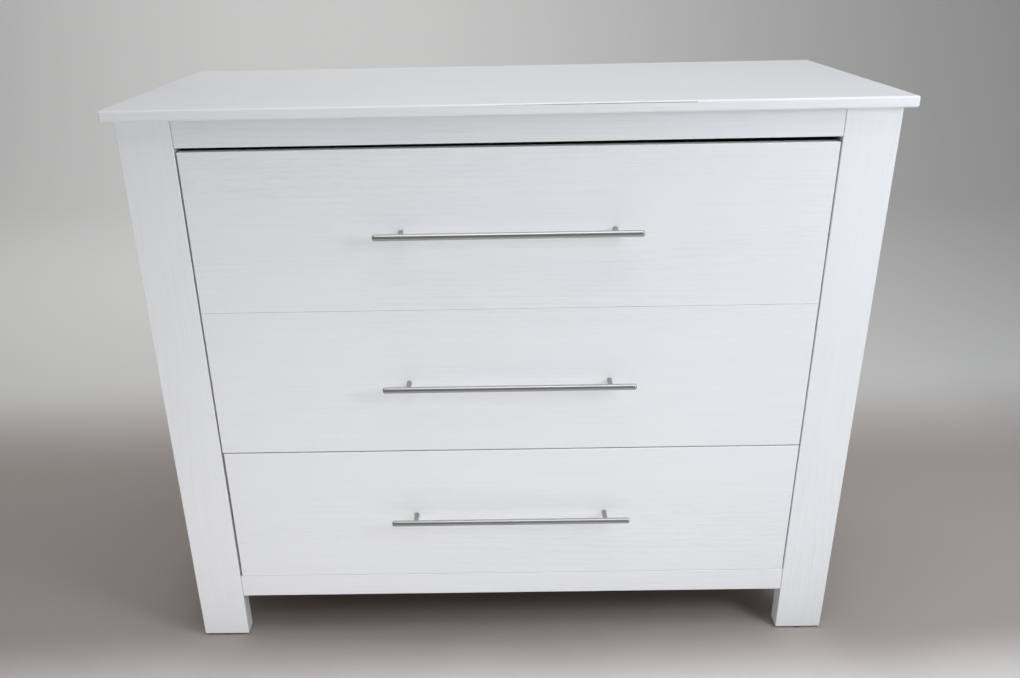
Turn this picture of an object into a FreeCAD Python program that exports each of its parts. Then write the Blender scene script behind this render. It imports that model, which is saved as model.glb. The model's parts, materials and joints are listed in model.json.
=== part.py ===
"""Three-drawer changing chest in white painted pine.

A post-and-rail carcass with a flat top to change on, three full-width drawers on
epoxy-coated roller runners, and a brushed bar handle on each drawer.

Millimetres. +X is the user's right as they face the drawers, the drawers open towards
-Y, and +Z is up. The origin is on the floor, under the middle of the whole chest,
handles included.
"""
import FreeCAD, Part
import Sketcher
import os
import re

SHEET = {
    # the chest as a whole
    "table_high": 930,
    "carcass_wide": 1120,
    "carcass_deep": 500,
    # top board
    "top_wide": 1150,
    "top_deep": 516,
    "top_thick": 16,
    "top_edge": 3,
    # posts, rails and panels of the carcass
    "post_wide": 80,
    "post_deep": 30,
    "rail_thick": 22,
    "top_rail_high": 40,
    "bottom_rail_high": 42.5,
    "bottom_rail_low": 86.5,
    "panel_thick": 18,
    "panel_inset": 6,
    "back_panel_thick": 3,
    "back_panel_inset": 1.5,
    "back_panel_play": 1,
    "arris": 1.5,
    "soft_arris": 0.8,
    "batten_thick": 18,
    "batten_high": 44,
    "batten_drop": 7,
    # foot glides
    "glide_high": 3,
    "glide_radius": 14,
    "nail_radius": 2.5,
    "nail_long": 15,
    "nail_play": 0.1,
    # drawer fronts, lowest edge of each from the floor
    "front_thick": 18,
    "front_high": 245.6,
    "front_side_gap": 2,
    "front_low_three": 129.6,
    "front_low_two": 376.6,
    "front_low_one": 622.5,
    # drawer boxes
    "box_lift": 20,
    "side_thick": 12,
    "side_high": 180,
    "side_long": 440,
    "box_back_setback": 6,
    "bottom_thick": 3,
    "bottom_lift": 10,
    "groove_deep": 6,
    "groove_play": 0.3,
    # roller runners
    "runner_room": 12.5,
    "runner_long": 400,
    "runner_setback": 22,
    "runner_metal": 1.2,
    "runner_high": 30,
    "track_wide": 10.5,
    "lip_wide": 8,
    "slider_lip_start": 3,
    "slider_lip_low": 22,
    "slider_foot_end": 24,
    "box_above_track": 6,
    "slider_setback": 0.5,
    "runner_screw_high": 22.5,
    # rollers and their pins
    "roller_wide": 6.8,
    "roller_start": 2.5,
    "roller_bore": 2.05,
    "roller_round": 0.5,
    "pin_radius": 2,
    "pin_play": 0.2,
    "pin_head_radius": 3.2,
    "pin_head_thick": 0.6,
    "front_roller_radius": 9,
    "front_roller_high": 12.7,
    "front_roller_inset": 12,
    "rear_roller_radius": 8.5,
    "rear_roller_high": 10,
    "rear_roller_inset": 10,
    # bar handles
    "handle_long": 400,
    "handle_pitch": 320,
    "handle_radius": 5,
    "handle_reach": 33,
    "handle_end_round": 0.8,
    "stem_radius": 4,
    "stem_bore": 2.05,
    "stem_bore_deep": 12,
    "front_bore": 2.3,
    "bolt_radius": 2,
    "bolt_in_stem": 9,
    "bolt_head_radius": 4,
    "bolt_head_thick": 2.2,
    # cam locks, brackets and wood screws
    "cam_radius": 7.4,
    "cam_pocket": 7.5,
    "cam_thick": 9.3,
    "cam_pocket_deep": 9.5,
    "cam_inset": 24,
    "cam_slot_long": 10.4,
    "cam_slot_wide": 1.6,
    "cam_slot_deep": 2.5,
    "side_cam_low": 45,
    "side_cam_high": 140,
    "bracket_leg": 28,
    "bracket_wide": 16,
    "bracket_metal": 2,
    "bracket_pitch": 300,
    "screw_radius": 1.7,
    "screw_head_radius": 3.5,
    "screw_head_thick": 1.4,
    "screw_long": 12,
    "screw_play": 0.3,
}

LEVELS = ("one", "two", "three")
SIDES = (("left", -1), ("right", 1))
RUNNER_SCREW_PLACES = (34, 190, 360)
LEAST_CUT = 0.001

# derived places, as expressions on the sheet's words
FRONT_Y = "(-(carcass_deep - handle_reach) / 2)"
BACK_Y = f"({FRONT_Y} + carcass_deep)"
POST_TOP = "(table_high - top_thick)"
INNER_X = "(carcass_wide / 2 - post_wide)"
BOX_X = f"({INNER_X} - runner_room)"
BOX_Y = f"({FRONT_Y} + front_thick)"
RUNNER_Y = f"({FRONT_Y} + runner_setback)"
REAR_RAIL_BACK_Y = f"({BACK_Y} - back_panel_inset - back_panel_thick)"
REAR_ROLLER_Y = f"({BOX_Y} + slider_setback + runner_long - rear_roller_inset)"
HANDLE_Y = f"({FRONT_Y} - handle_reach + handle_radius)"

ALONG_X = FreeCAD.Rotation(FreeCAD.Vector(0, 1, 0), 90)
ALONG_Y = FreeCAD.Rotation(FreeCAD.Vector(1, 0, 0), -90)
ALONG_Z = FreeCAD.Rotation()

doc = FreeCAD.newDocument("changing_chest")
sheet = doc.addObject("Spreadsheet::Sheet", "Sizes")
for row, (word, number) in enumerate(SHEET.items(), start=1):
    sheet.set(f"A{row}", word)
    sheet.set(f"B{row}", str(number))
    sheet.setAlias(f"B{row}", word)
doc.recompute()

nodes = []


def on_sheet(words):
    """Turn an expression in the sheet's words into one that FreeCAD can bind."""
    return re.sub(r"[a-z][a-z_]*", lambda found: "Sizes." + found.group(0), str(words))


def bind(item, prop, words):
    item.setExpression(prop, on_sheet(words))


def value(words):
    return float(sheet.evalExpression(on_sheet(words)))


def place(item, x=0, y=0, z=0, turn=ALONG_Z):
    """Put an object at a point given in the sheet's words."""
    item.Placement = FreeCAD.Placement(FreeCAD.Vector(0, 0, 0), turn)
    for axis, words in (("x", x), ("y", y), ("z", z)):
        bind(item, f"Placement.Base.{axis}", words)
    return item


def node(item, label):
    """Name a finished piece; its label is the name of its file."""
    item.Label = label
    nodes.append(item)
    return item


def origin_feature(body, role):
    return next(item for item in body.Origin.OriginFeatures if item.Role == role)


def outline(body, name, plane, corners):
    """A closed outline on one of the body's own planes; each corner is bound to the sheet."""
    sketch = body.newObject("Sketcher::SketchObject", name)
    sketch.AttachmentSupport = [(origin_feature(body, plane), "")]
    sketch.MapMode = "FlatFace"
    points = [FreeCAD.Vector(value(across), value(up), 0) for across, up in corners]
    count = len(points)
    for start in range(count):
        sketch.addGeometry(Part.LineSegment(points[start], points[(start + 1) % count]), False)
    for start in range(count):
        sketch.addConstraint(Sketcher.Constraint("Coincident", start, 2, (start + 1) % count, 1))
    for corner, (across, up) in enumerate(corners):
        for kind, words, axis, now in (
            ("DistanceX", across, -2, points[corner].x),
            ("DistanceY", up, -1, points[corner].y),
        ):
            if words == "0":
                sketch.addConstraint(Sketcher.Constraint("PointOnObject", corner, 1, axis))
                continue
            index = sketch.addConstraint(Sketcher.Constraint(kind, -1, 1, corner, 1, now))
            title = f"{kind.lower()}_{corner}"
            sketch.renameConstraint(index, title)
            bind(sketch, f"Constraints.{title}", words)
    return sketch


def pad(body, sketch, length, turned=False):
    item = body.newObject("PartDesign::Pad", sketch.Name + "_pad")
    item.Profile = (sketch, [""])
    item.Reversed = turned
    bind(item, "Length", length)
    doc.recompute()
    return item


def board(name, wide, deep, high, edge="arris"):
    """A planed board from its own corner: wide along X, deep along Y, high along Z."""
    body = doc.addObject("PartDesign::Body", name)
    corners = (("0", "0"), (wide, "0"), (wide, deep), ("0", deep))
    solid = pad(body, outline(body, name + "_outline", "XY_Plane", corners), high)
    if edge:
        eased = body.newObject("PartDesign::Fillet", name + "_eased")
        eased.Base = (solid, ["Edge1"])
        eased.UseAllEdges = True
        bind(eased, "Radius", edge)
        doc.recompute()
    return body


def cut_from(body, tool, before):
    """Recompute, and make sure that the tool really took something away."""
    doc.recompute()
    if not body.Shape.Volume < before - LEAST_CUT:
        raise RuntimeError(f"{tool.Name} cut nothing from {body.Name}")


def bore(body, name, radius, depth, x, y, z, turn):
    """A round hole in a body, in the body's own coordinates."""
    before = body.Shape.Volume
    tool = body.newObject("PartDesign::SubtractiveCylinder", name)
    bind(tool, "Radius", radius)
    bind(tool, "Height", depth)
    place(tool, x, y, z, turn)
    cut_from(body, tool, before)


def groove(body, name, long, deep, high, x, y, z):
    """A straight-sided groove in a body, in the body's own coordinates."""
    before = body.Shape.Volume
    tool = body.newObject("PartDesign::SubtractiveBox", name)
    bind(tool, "Length", long)
    bind(tool, "Width", deep)
    bind(tool, "Height", high)
    place(tool, x, y, z)
    cut_from(body, tool, before)


def peg(body, name, radius, long, x, y, z, turn):
    """A round peg added to a body, in the body's own coordinates."""
    item = body.newObject("PartDesign::AdditiveCylinder", name)
    bind(item, "Radius", radius)
    bind(item, "Height", long)
    place(item, x, y, z, turn)
    doc.recompute()


def copy_of(item, name, x=0, y=0, z=0, turn=ALONG_Z):
    link = doc.addObject("App::Link", name)
    link.LinkedObject = item
    return place(link, x, y, z, turn)


def handed(item):
    """A right-hand piece with its left-hand mirror image, both about their own origin."""
    image = doc.addObject("Part::Mirroring", item.Name + "_mirrored")
    image.Source = item
    image.Base = (0, 0, 0)
    image.Normal = (1, 0, 0)
    return image, item


def group(label, members):
    """Like pieces kept together as separate solids of one node."""
    item = doc.addObject("Part::Compound", label)
    item.Links = members
    return node(item, label)


def screw(name, radius, long, head_radius, head_thick):
    """A pan-head screw: shank down from the origin along -Z, head above it."""
    body = doc.addObject("PartDesign::Body", name)
    peg(body, name + "_shank", radius, long, 0, 0, f"-({long})", ALONG_Z)
    peg(body, name + "_head", head_radius, head_thick, 0, 0, 0, ALONG_Z)
    groove(
        body, name + "_slot",
        f"2 * {head_radius}", "cam_slot_wide / 2", f"{head_thick} / 2",
        f"-({head_radius})", "-cam_slot_wide / 4", f"{head_thick} / 2",
    )
    return body


def make_cam():
    """A zinc cam lock with a cross recess: from the origin down -Z, face on the XY plane."""
    body = doc.addObject("PartDesign::Body", "cam")
    peg(body, "cam_disc", "cam_radius", "cam_thick", 0, 0, "-cam_thick", ALONG_Z)
    arms = (("across", "cam_slot_long", "cam_slot_wide"), ("along", "cam_slot_wide", "cam_slot_long"))
    for name, long, wide in arms:
        groove(
            body, "cam_slot_" + name,
            long, wide, "cam_slot_deep",
            f"-({long}) / 2", f"-({wide}) / 2", "-cam_slot_deep",
        )
    return body


def make_top():
    top = board("top_board", "top_wide", "top_deep", "top_thick", "top_edge")
    place(top, "-top_wide / 2", f"{BACK_Y} - top_deep", POST_TOP)
    node(top, "top_board")


def make_posts():
    for end, low_y in (("front", FRONT_Y), ("rear", f"{BACK_Y} - post_deep")):
        for side, sign in SIDES:
            name = f"{end}_post_{side}"
            post = board(name, "post_wide", "post_deep", f"{POST_TOP} - glide_high")
            bore(
                post, name + "_nail_bore",
                "nail_radius + nail_play", "nail_long + nail_play",
                "post_wide / 2", "post_deep / 2", 0, ALONG_Z,
            )
            low_x = INNER_X if sign > 0 else "-carcass_wide / 2"
            place(post, low_x, low_y, "glide_high")
            node(post, name)


def make_glides():
    glide = doc.addObject("PartDesign::Body", "glide")
    peg(glide, "glide_disc", "glide_radius", "glide_high", 0, 0, 0, ALONG_Z)
    peg(glide, "glide_nail", "nail_radius", "nail_long + glide_high", 0, 0, 0, ALONG_Z)
    across = "(carcass_wide / 2 - post_wide / 2)"
    feet = []
    for end, y in (("front", f"{FRONT_Y} + post_deep / 2"), ("rear", f"{BACK_Y} - post_deep / 2")):
        for side, sign in SIDES:
            feet.append(copy_of(glide, f"glide_{end}_{side}", f"{sign} * {across}", y, 0))
    group("foot_glides", feet)


def make_rails(cam, cams):
    """The four cross rails; each is held by a cam lock near each end of its inner face."""
    wide = f"2 * {INNER_X}"
    rear_y = f"{REAR_RAIL_BACK_Y} - rail_thick"
    levels = (
        ("top", "top_rail_high", f"{POST_TOP} - top_rail_high"),
        ("bottom", "bottom_rail_high", "bottom_rail_low"),
    )
    for level, high, low_z in levels:
        for end, low_y in (("front", FRONT_Y), ("rear", rear_y)):
            name = f"{level}_{end}_rail"
            rail = board(name, wide, "rail_thick", high)
            inner_face = "rail_thick" if end == "front" else "0"
            start = f"{inner_face} - cam_pocket_deep" if end == "front" else inner_face
            for side, sign in SIDES:
                x = f"{INNER_X} + {sign} * ({INNER_X} - cam_inset)"
                bore(
                    rail, f"{name}_cam_{side}", "cam_pocket", "cam_pocket_deep",
                    x, start, f"{high} / 2", ALONG_Y,
                )
                turn = ALONG_Y if end == "front" else ALONG_Y.inverted()
                cams.append(copy_of(
                    cam, f"{name}_cam_lock_{side}",
                    f"{x} - {INNER_X}", f"{low_y} + {inner_face}", f"{low_z} + {high} / 2", turn,
                ))
            place(rail, f"-{INNER_X}", low_y, low_z)
            node(rail, name)


def make_side_panels(cam, cams):
    deep = "(carcass_deep - 2 * post_deep)"
    high = f"({POST_TOP} - bottom_rail_low)"
    outer = "(carcass_wide / 2 - panel_inset)"
    for side, sign in SIDES:
        name = f"side_panel_{side}"
        panel = board(name, "panel_thick", deep, high, "soft_arris")
        start = "0" if sign > 0 else "panel_thick - cam_pocket_deep"
        face_x = f"{sign} * ({outer} - panel_thick)"
        for row, z in enumerate(("2 * cam_inset", f"{high} / 2", f"{high} - 2 * cam_inset")):
            for column, y in enumerate(("cam_inset", f"{deep} - cam_inset")):
                tag = f"{row}_{column}"
                bore(
                    panel, f"{name}_cam_{tag}", "cam_pocket", "cam_pocket_deep",
                    start, y, z, ALONG_X,
                )
                turn = ALONG_X.inverted() if sign > 0 else ALONG_X
                cams.append(copy_of(
                    cam, f"{name}_cam_lock_{tag}",
                    face_x, f"{FRONT_Y} + post_deep + {y}", f"bottom_rail_low + {z}", turn,
                ))
        low_x = f"{outer} - panel_thick" if sign > 0 else f"-{outer}"
        place(panel, low_x, f"{FRONT_Y} + post_deep", "bottom_rail_low")
        node(panel, name)


def make_back_panel():
    wide = f"2 * ({INNER_X} - back_panel_play)"
    high = f"{POST_TOP} - bottom_rail_low - 2 * back_panel_play"
    panel = board("back_panel", wide, "back_panel_thick", high, None)
    place(panel, f"-({INNER_X} - back_panel_play)", REAR_RAIL_BACK_Y, "bottom_rail_low + back_panel_play")
    node(panel, "back_panel")


def track_z(level):
    """Height of the underside of a drawer's cabinet runners."""
    return f"(front_low_{level} + box_lift - box_above_track)"


def make_battens():
    """Front-to-back battens that bring the runners out to the posts' inner faces."""
    for side, sign in SIDES:
        battens = []
        for level in LEVELS:
            name = f"batten_{level}_{side}"
            batten = board(name, "batten_thick", "carcass_deep - 2 * post_deep", "batten_high", "soft_arris")
            low_x = INNER_X if sign > 0 else f"-{INNER_X} - batten_thick"
            place(batten, low_x, f"{FRONT_Y} + post_deep", f"{track_z(level)} - batten_drop")
            battens.append(batten)
        group(f"runner_battens_{side}", battens)


def make_cabinet_runner():
    """The right-hand cabinet runner: a steel channel, and the pin of its front roller.

    The web stands on the YZ plane, the channel opens towards -X and runs along +Y.
    """
    body = doc.addObject("PartDesign::Body", "cabinet_runner")
    corners = (
        ("0", "0"),
        ("-track_wide", "0"),
        ("-track_wide", "runner_metal"),
        ("-runner_metal", "runner_metal"),
        ("-runner_metal", "runner_high - runner_metal"),
        ("-lip_wide", "runner_high - runner_metal"),
        ("-lip_wide", "runner_high"),
        ("0", "runner_high"),
    )
    pad(body, outline(body, "cabinet_runner_outline", "XZ_Plane", corners), "runner_long", turned=True)
    for number, y in enumerate(RUNNER_SCREW_PLACES):
        bore(
            body, f"cabinet_runner_hole_{number}", "screw_radius + screw_play", "2 * runner_metal",
            "-2 * runner_metal", y, "runner_screw_high", ALONG_X,
        )
    end = "(roller_start + roller_wide + pin_play)"
    peg(
        body, "front_pin", "pin_radius", f"{end} - runner_metal / 2",
        f"-{end}", "front_roller_inset", "front_roller_high", ALONG_X,
    )
    peg(
        body, "front_pin_head", "pin_head_radius", "pin_head_thick",
        f"-{end} - pin_head_thick", "front_roller_inset", "front_roller_high", ALONG_X,
    )
    return body


def make_slider():
    """The right-hand drawer runner: an angle under the drawer's side, and its rear roller's pin.

    X is counted from the post's inner face, Z from the underside of the cabinet runner.
    """
    body = doc.addObject("PartDesign::Body", "slider")
    lip_top = "slider_lip_low + runner_metal"
    leg = "(runner_room - runner_metal)"
    corners = (
        ("-slider_lip_start", "slider_lip_low"),
        ("-slider_lip_start", lip_top),
        ("-runner_room", lip_top),
        ("-runner_room", "box_above_track"),
        ("-slider_foot_end", "box_above_track"),
        ("-slider_foot_end", "box_above_track - runner_metal"),
        (f"-{leg}", "box_above_track - runner_metal"),
        (f"-{leg}", "slider_lip_low"),
    )
    pad(body, outline(body, "slider_outline", "XZ_Plane", corners), "runner_long", turned=True)
    start = "(roller_start - pin_play)"
    y = "runner_long - rear_roller_inset"
    peg(
        body, "rear_pin", "pin_radius", f"{leg} - {start} + runner_metal / 2",
        f"-{leg} - runner_metal / 2", y, "rear_roller_high", ALONG_X,
    )
    peg(
        body, "rear_pin_head", "pin_head_radius", "pin_head_thick",
        f"-{start}", y, "rear_roller_high", ALONG_X,
    )
    return body


def make_roller(name, radius):
    """A nylon roller, turned about X, that fills X from -roller_wide to 0."""
    body = doc.addObject("PartDesign::Body", name)
    corners = (
        ("-roller_wide", "roller_bore"),
        ("0", "roller_bore"),
        ("0", radius),
        ("-roller_wide", radius),
    )
    sketch = outline(body, name + "_outline", "XY_Plane", corners)
    turned = body.newObject("PartDesign::Revolution", name + "_turned")
    turned.Profile = (sketch, [""])
    turned.ReferenceAxis = (origin_feature(body, "X_Axis"), [""])
    doc.recompute()
    rims = [
        f"Edge{number}"
        for number, edge in enumerate(turned.Shape.Edges, start=1)
        if edge.Length > 2 * value(radius) * 3
    ]
    rounded = body.newObject("PartDesign::Fillet", name + "_rounded")
    rounded.Base = (turned, rims)
    bind(rounded, "Radius", "roller_round")
    doc.recompute()
    return body


def both_sides(pair, name, x, y, z):
    """A handed pair put on the chest's two sides, each x from its middle."""
    return [
        copy_of(item, f"{name}_{side}", f"{sign} * ({x})", y, z)
        for item, (side, sign) in zip(pair, SIDES)
    ]


def make_cabinet_runners(runners, rollers, wood_screw):
    screws = []
    for number, level in enumerate(LEVELS, start=1):
        z = track_z(level)
        group(f"cabinet_runners_{number}", both_sides(
            runners, f"cabinet_runner_{level}", INNER_X, RUNNER_Y, z,
        ))
        group(f"cabinet_rollers_{number}", both_sides(
            rollers, f"cabinet_roller_{level}",
            f"{INNER_X} - roller_start", f"{RUNNER_Y} + front_roller_inset", f"{z} + front_roller_high",
        ))
        for place_number, y in enumerate(RUNNER_SCREW_PLACES):
            for side, sign in SIDES:
                turn = ALONG_X.inverted() if sign > 0 else ALONG_X
                screws.append(copy_of(
                    wood_screw, f"runner_screw_{level}_{place_number}_{side}",
                    f"{sign} * ({INNER_X} - runner_metal)", f"{RUNNER_Y} + {y}",
                    f"{z} + runner_screw_high", turn,
                ))
    group("runner_screws", screws)


def make_top_brackets(wood_screw):
    """Steel angles that hold the top board to the two top rails, with two screws each."""
    angle = doc.addObject("PartDesign::Body", "bracket")
    corners = (
        ("0", "0"),
        ("bracket_metal", "0"),
        ("bracket_metal", "bracket_leg - bracket_metal"),
        ("bracket_leg", "bracket_leg - bracket_metal"),
        ("bracket_leg", "bracket_leg"),
        ("0", "bracket_leg"),
    )
    pad(angle, outline(angle, "bracket_outline", "YZ_Plane", corners), "bracket_wide")
    middle = "bracket_leg / 2 + bracket_metal / 2"
    hole = "screw_radius + screw_play"
    bore(
        angle, "bracket_rail_hole", hole, "2 * bracket_metal",
        "bracket_wide / 2", "-bracket_metal / 2", f"bracket_leg - ({middle})", ALONG_Y,
    )
    bore(
        angle, "bracket_top_hole", hole, "2 * bracket_metal",
        "bracket_wide / 2", middle, "bracket_leg - 1.5 * bracket_metal", ALONG_Z,
    )
    turned = FreeCAD.Rotation(FreeCAD.Vector(0, 0, 1), 180)
    upwards = FreeCAD.Rotation(FreeCAD.Vector(1, 0, 0), 180)
    low_z = f"{POST_TOP} - bracket_leg"
    faces = (
        ("front", f"{FRONT_Y} + rail_thick", 1, ALONG_Z, ALONG_Y),
        ("rear", f"{REAR_RAIL_BACK_Y} - rail_thick", -1, turned, ALONG_Y.inverted()),
    )
    angles = []
    screws = []
    for end, face_y, inward, turn, screw_turn in faces:
        for step in (-1, 0, 1):
            tag = f"{end}_{step + 1}"
            x = f"{step} * bracket_pitch"
            angles.append(copy_of(
                angle, f"bracket_{tag}", f"{x} - {inward} * bracket_wide / 2", face_y, low_z, turn,
            ))
            screws.append(copy_of(
                wood_screw, f"bracket_rail_screw_{tag}",
                x, f"{face_y} + {inward} * bracket_metal",
                f"{low_z} + bracket_leg - ({middle})", screw_turn,
            ))
            screws.append(copy_of(
                wood_screw, f"bracket_top_screw_{tag}",
                x, f"{face_y} + {inward} * ({middle})", f"{POST_TOP} - bracket_metal", upwards,
            ))
    group("top_brackets", angles)
    group("top_bracket_screws", screws)


def make_front(number, level):
    name = f"drawer_{number}_front"
    wide = f"2 * ({INNER_X} - front_side_gap)"
    front = board(name, wide, "front_thick", "front_high")
    groove(
        front, name + "_groove",
        f"2 * ({BOX_X} - side_thick + groove_deep)", "groove_deep", "bottom_thick + groove_play",
        f"{INNER_X} - front_side_gap - ({BOX_X} - side_thick + groove_deep)",
        "front_thick - groove_deep", "box_lift + bottom_lift",
    )
    for side, sign in SIDES:
        bore(
            front, f"{name}_bore_{side}", "front_bore", "front_thick",
            f"{INNER_X} - front_side_gap + {sign} * handle_pitch / 2", 0, "front_high / 2", ALONG_Y,
        )
    place(front, f"-({INNER_X} - front_side_gap)", FRONT_Y, f"front_low_{level}")
    node(front, name)


def make_box(number, level, cam):
    """Two sides, the back and the hardboard bottom of one drawer, and its cam locks."""
    low_z = f"front_low_{level} + box_lift"
    cams = []
    for side, sign in SIDES:
        name = f"drawer_{number}_side_{side}"
        panel = board(name, "side_thick", "side_long", "side_high", "soft_arris")
        inner = "0" if sign > 0 else "side_thick - groove_deep"
        groove(
            panel, name + "_groove", "groove_deep", "side_long", "bottom_thick + groove_play",
            inner, 0, "bottom_lift",
        )
        start = "0" if sign > 0 else "side_thick - cam_pocket_deep"
        turn = ALONG_X.inverted() if sign > 0 else ALONG_X
        for place_name in ("low", "high"):
            height = f"side_cam_{place_name}"
            bore(
                panel, f"{name}_cam_{place_name}", "cam_pocket", "cam_pocket_deep",
                start, "cam_inset", height, ALONG_X,
            )
            cams.append(copy_of(
                cam, f"{name}_cam_lock_{place_name}",
                f"{sign} * ({BOX_X} - side_thick)", f"{BOX_Y} + cam_inset", f"{low_z} + {height}", turn,
            ))
        low_x = f"{BOX_X} - side_thick" if sign > 0 else f"-{BOX_X}"
        place(panel, low_x, BOX_Y, low_z)
        node(panel, name)
    group(f"drawer_{number}_cam_locks", cams)

    above_bottom = "(bottom_lift + bottom_thick + groove_play)"
    back = board(
        f"drawer_{number}_back", f"2 * ({BOX_X} - side_thick)", "side_thick",
        f"side_high - {above_bottom}", "soft_arris",
    )
    back_y = f"{BOX_Y} + side_long - box_back_setback - side_thick"
    place(back, f"-({BOX_X} - side_thick)", back_y, f"{low_z} + {above_bottom}")
    node(back, f"drawer_{number}_back")

    half = f"({BOX_X} - side_thick + groove_deep - groove_play)"
    bottom = board(
        f"drawer_{number}_bottom", f"2 * {half}",
        "side_long + groove_deep - 2 * groove_play", "bottom_thick", None,
    )
    bottom_z = f"{low_z} + bottom_lift + groove_play / 2"
    place(bottom, f"-{half}", f"{BOX_Y} - groove_deep + groove_play", bottom_z)
    node(bottom, f"drawer_{number}_bottom")


def make_sliders(number, level, sliders, rollers):
    z = track_z(level)
    group(f"drawer_{number}_runners", both_sides(
        sliders, f"slider_{level}", INNER_X, f"{BOX_Y} + slider_setback", z,
    ))
    group(f"drawer_{number}_rollers", both_sides(
        rollers, f"slider_roller_{level}",
        f"{INNER_X} - roller_start", REAR_ROLLER_Y, f"{z} + rear_roller_high",
    ))


def make_bar():
    """A round bar along X, centred on the origin, with eased ends."""
    body = doc.addObject("PartDesign::Body", "bar")
    peg(body, "bar_rod", "handle_radius", "handle_long", "-handle_long / 2", 0, 0, ALONG_X)
    rod = body.Tip
    rims = [
        f"Edge{number}"
        for number, edge in enumerate(rod.Shape.Edges, start=1)
        if edge.isClosed()
    ]
    eased = body.newObject("PartDesign::Chamfer", "bar_eased")
    eased.Base = (rod, rims)
    bind(eased, "Size", "handle_end_round")
    doc.recompute()
    return body


def make_stem():
    """A handle's stem along Y, from the bar at the origin back to the drawer's face."""
    body = doc.addObject("PartDesign::Body", "stem")
    reach = "(handle_reach - handle_radius)"
    peg(body, "stem_rod", "stem_radius", reach, 0, 0, 0, ALONG_Y)
    bore(
        body, "stem_saddle", "handle_radius", "4 * stem_radius",
        "-2 * stem_radius", 0, 0, ALONG_X,
    )
    bore(
        body, "stem_thread", "stem_bore", "stem_bore_deep",
        0, f"{reach} - stem_bore_deep", 0, ALONG_Y,
    )
    return body


def make_handle(number, level, bar, stem, bolt):
    z = f"front_low_{level} + front_high / 2"
    node(copy_of(bar, f"bar_{level}", 0, HANDLE_Y, z), f"drawer_{number}_handle_bar")
    stems = []
    bolts = []
    for side, sign in SIDES:
        x = f"{sign} * handle_pitch / 2"
        stems.append(copy_of(stem, f"stem_{level}_{side}", x, HANDLE_Y, z))
        bolts.append(copy_of(bolt, f"bolt_{level}_{side}", x, BOX_Y, z, ALONG_Y))
    group(f"drawer_{number}_handle_stems", stems)
    group(f"drawer_{number}_handle_bolts", bolts)


def make_chest():
    cam = make_cam()
    carcass_cams = []
    make_top()
    make_posts()
    make_glides()
    make_rails(cam, carcass_cams)
    make_side_panels(cam, carcass_cams)
    group("carcass_cam_locks", carcass_cams)
    make_back_panel()
    make_battens()
    wood_screw = screw("wood_screw", "screw_radius", "screw_long", "screw_head_radius", "screw_head_thick")
    front_rollers = handed(make_roller("front_roller", "front_roller_radius"))
    make_cabinet_runners(handed(make_cabinet_runner()), front_rollers, wood_screw)
    make_top_brackets(wood_screw)

    sliders = handed(make_slider())
    rear_rollers = handed(make_roller("rear_roller", "rear_roller_radius"))
    bar = make_bar()
    stem = make_stem()
    bolt = screw(
        "handle_bolt", "bolt_radius", "(front_thick + bolt_in_stem)",
        "bolt_head_radius", "bolt_head_thick",
    )
    for number, level in enumerate(LEVELS, start=1):
        make_front(number, level)
        make_box(number, level, cam)
        make_sliders(number, level, sliders, rear_rollers)
        make_handle(number, level, bar, stem, bolt)
    doc.recompute()


def write_parts():
    """Check every object, then write one file for each node."""
    for item in doc.Objects:
        if "Invalid" in item.State or "Error" in item.State:
            raise RuntimeError(f"{item.Label} did not build: {item.State}")
    shapes = {}
    for item in nodes:
        shape = Part.getShape(item)
        if shape.isNull() or not shape.isValid() or not shape.Solids:
            raise RuntimeError(f"{item.Label} has no sound solid")
        shapes[item.Label] = shape
    os.makedirs("parts", exist_ok=True)
    for label, shape in shapes.items():
        shape.exportStep(f"parts/{label}.step")
    print(len(shapes), "nodes,", sum(len(shape.Solids) for shape in shapes.values()), "solids")


make_chest()
write_parts()
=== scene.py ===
"""Looks for a three-drawer changing chest: painted pine, bar handles, drawer boxes and runners."""
import json
import math

import bmesh
import bpy
from mathutils import Euler, Matrix, Vector, noise

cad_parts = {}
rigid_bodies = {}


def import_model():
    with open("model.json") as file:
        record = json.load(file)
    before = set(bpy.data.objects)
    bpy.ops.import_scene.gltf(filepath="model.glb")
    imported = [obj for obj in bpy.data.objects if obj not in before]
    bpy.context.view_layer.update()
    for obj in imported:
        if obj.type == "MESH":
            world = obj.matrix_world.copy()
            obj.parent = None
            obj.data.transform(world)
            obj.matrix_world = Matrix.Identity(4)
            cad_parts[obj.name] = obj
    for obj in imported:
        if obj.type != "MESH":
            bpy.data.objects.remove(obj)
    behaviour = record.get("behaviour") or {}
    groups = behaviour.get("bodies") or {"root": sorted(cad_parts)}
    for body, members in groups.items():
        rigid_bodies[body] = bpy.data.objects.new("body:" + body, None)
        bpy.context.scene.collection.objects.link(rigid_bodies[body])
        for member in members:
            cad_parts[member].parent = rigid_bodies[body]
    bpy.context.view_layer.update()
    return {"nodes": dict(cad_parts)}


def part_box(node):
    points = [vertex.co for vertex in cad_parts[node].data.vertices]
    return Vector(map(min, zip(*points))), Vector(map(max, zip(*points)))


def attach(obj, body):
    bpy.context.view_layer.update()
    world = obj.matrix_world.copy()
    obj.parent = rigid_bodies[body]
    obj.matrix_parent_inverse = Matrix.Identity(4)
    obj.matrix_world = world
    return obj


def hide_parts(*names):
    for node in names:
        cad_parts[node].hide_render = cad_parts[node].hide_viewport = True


bl_info = {
    "name": "Changing Chest Looks",
    "version": (1, 0, 0),
    "blender": (4, 5, 0),
    "location": "3D View > Sidebar > Changing Chest",
    "description": "Dresses the changing chest in painted pine, steel and hardboard",
    "category": "Object",
}

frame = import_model()

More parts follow.
